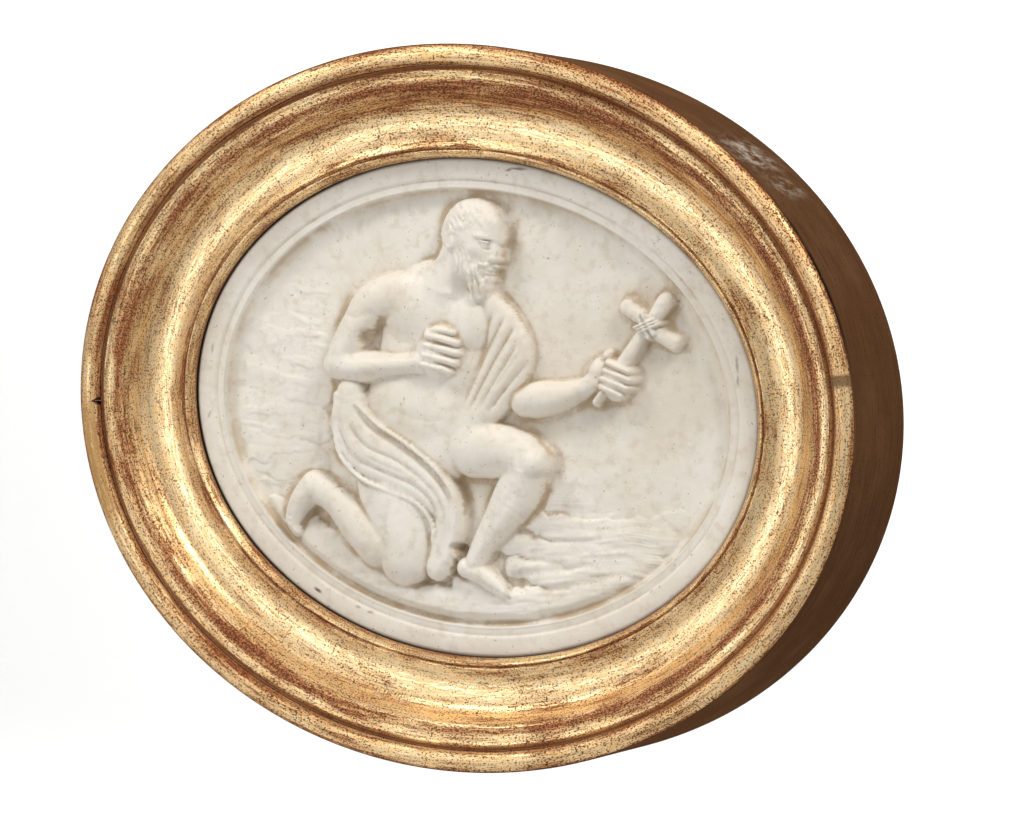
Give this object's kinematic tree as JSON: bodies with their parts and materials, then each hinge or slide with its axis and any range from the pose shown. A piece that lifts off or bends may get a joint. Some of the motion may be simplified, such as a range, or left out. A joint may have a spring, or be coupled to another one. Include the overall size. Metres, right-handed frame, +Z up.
{
  "type": "marble relief plaque",
  "caption": "Oval marble relief of a kneeling bearded figure holding a cross, one fist at the chest, in a gilt and brown oval wooden frame.",
  "frame": {"origin": "centre of the flat back, where the backboard lies on the wall", "axes": "+X to the viewer's right, +Z up, the relief faces -Y"},
  "size_m": [0.48, 0.097, 0.4148],
  "materials": {
    "marble": "smoothly carved marble, aged, with cream stains in the hollows",
    "gilding": "water gilding on red bole, worn",
    "brown_sides": "brown paint with a worn gilt front band",
    "bare_wood": "plain aged boards"
  },
  "bodies": {
    "root": {"marble_relief": "marble", "gilt_moulding": "gilding", "side_band_upper": "brown_sides", "side_band_lower": "brown_sides", "backboard": "bare_wood"}
  },
  "joints": []
}
